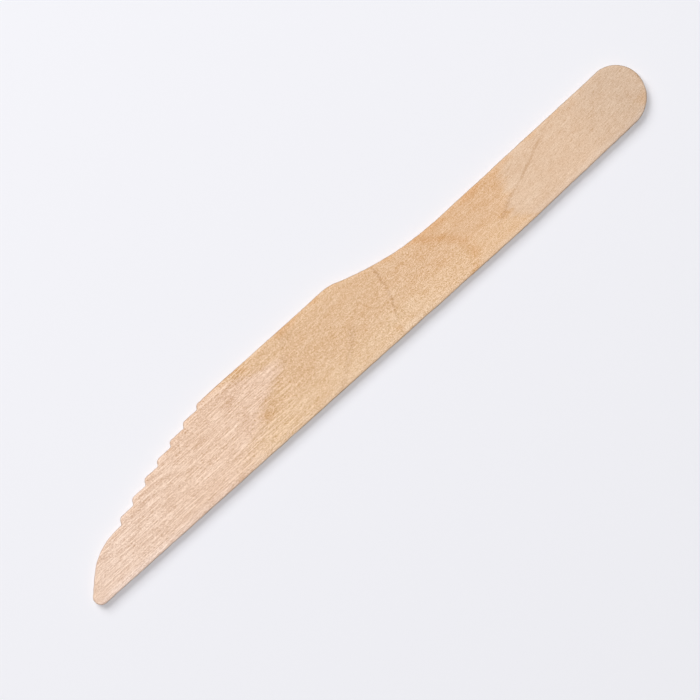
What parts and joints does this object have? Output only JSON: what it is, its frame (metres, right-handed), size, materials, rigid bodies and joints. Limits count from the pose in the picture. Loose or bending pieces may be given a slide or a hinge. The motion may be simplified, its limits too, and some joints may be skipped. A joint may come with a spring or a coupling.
{
  "type": "disposable wooden knife",
  "caption": "Flat table knife die-cut from birch veneer, with a stepped serrated edge, a swept shoulder and a slim handle with a round end.",
  "frame": {"origin": "centre of the rectangle that bounds the underside", "axes": "+X from the tip to the end of the handle, +Y from the back to the toothed edge, +Z out of the upper face"},
  "size_m": [0.165, 0.0192, 0.0018],
  "materials": {
    "birch": "bare rotary-cut veneer, tumbled smooth and left without a coating"
  },
  "bodies": {
    "root": {"birch_knife": "birch"}
  },
  "joints": []
}
